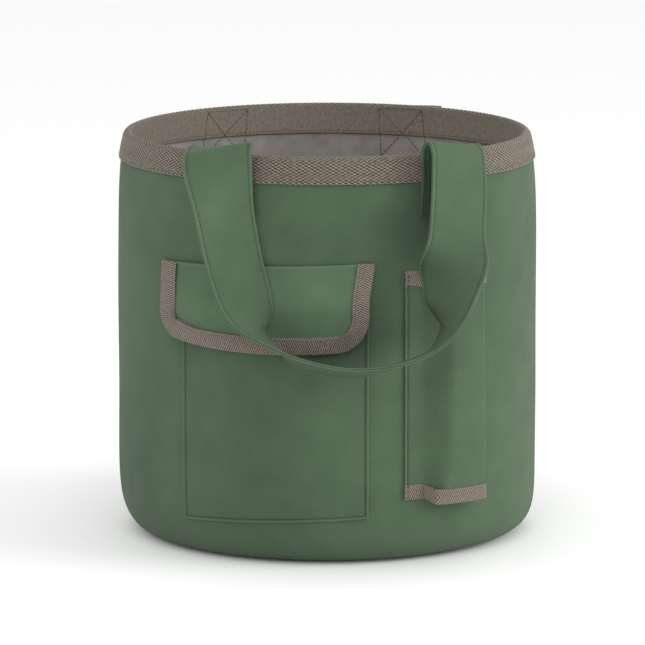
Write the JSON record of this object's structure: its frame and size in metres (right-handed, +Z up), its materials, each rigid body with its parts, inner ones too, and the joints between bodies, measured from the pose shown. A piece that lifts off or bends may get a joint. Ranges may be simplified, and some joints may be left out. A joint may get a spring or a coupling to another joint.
{
  "type": "round garden tote",
  "caption": "Round lined canvas garden tote with webbing rim, two swinging strap handles, flap pocket and open-ended tool sleeve.",
  "frame": {"origin": "centre of the flat base, on the surface it rests on", "axes": "+Z up through the open mouth; -Y is the front, the side with the flap pocket; +X is to the right seen from the front, where the tool sleeve is"},
  "size_m": [0.3126, 0.4411, 0.3058],
  "materials": {
    "green_canvas": "matt plain-weave canvas",
    "strap_canvas": "matt plain-weave canvas, doubled",
    "taupe_webbing": "coarse woven webbing",
    "grey_lining": "smooth coated lining",
    "green_thread": "twisted sewing thread",
    "brown_thread": "twisted sewing thread",
    "stiffener_board": "plain sheet"
  },
  "bodies": {
    "bag": {"outer_wall": "green_canvas", "outer_base": "green_canvas", "base_stiffener": "stiffener_board", "wall_lining": "grey_lining", "base_lining": "grey_lining", "rim_band": "taupe_webbing", "rim_band_stitching": "brown_thread", "pocket_panel": "green_canvas", "pocket_mouth_tape": "taupe_webbing", "pocket_stitching": "green_thread", "flap_seam_stitching": "green_thread", "sleeve_panel": "green_canvas", "sleeve_top_tape": "taupe_webbing", "sleeve_bottom_tape": "taupe_webbing", "sleeve_stitching": "green_thread", "front_left_handle_end": "strap_canvas", "front_left_handle_stitching": "green_thread", "front_right_handle_end": "strap_canvas", "front_right_handle_stitching": "green_thread", "back_left_handle_end": "strap_canvas", "back_left_handle_stitching": "green_thread", "back_right_handle_end": "strap_canvas", "back_right_handle_stitching": "green_thread"},
    "front_handle": {"front_handle_strap": "strap_canvas"},
    "back_handle": {"back_handle_strap": "strap_canvas"},
    "flap": {"flap_panel": "green_canvas", "flap_tape": "taupe_webbing"}
  },
  "joints": [
    {"name": "front_handle_swing", "type": "hinge", "parent": "bag", "child": "front_handle", "pos_m": [0, -0.1295, 0.302], "axis": [-1, 0, 0], "range_deg": [0, 180]},
    {"name": "back_handle_swing", "type": "hinge", "parent": "bag", "child": "back_handle", "pos_m": [0, 0.1385, 0.2953], "axis": [1, 0, 0], "range_deg": [0, 180]},
    {"name": "flap_lift", "type": "hinge", "parent": "bag", "child": "flap", "pos_m": [-0.04997, -0.15021, 0.221], "axis": [-0.9489, 0.3156, 0], "range_deg": [0, 140], "deforming": ["flap_panel", "flap_tape"]}
  ]
}
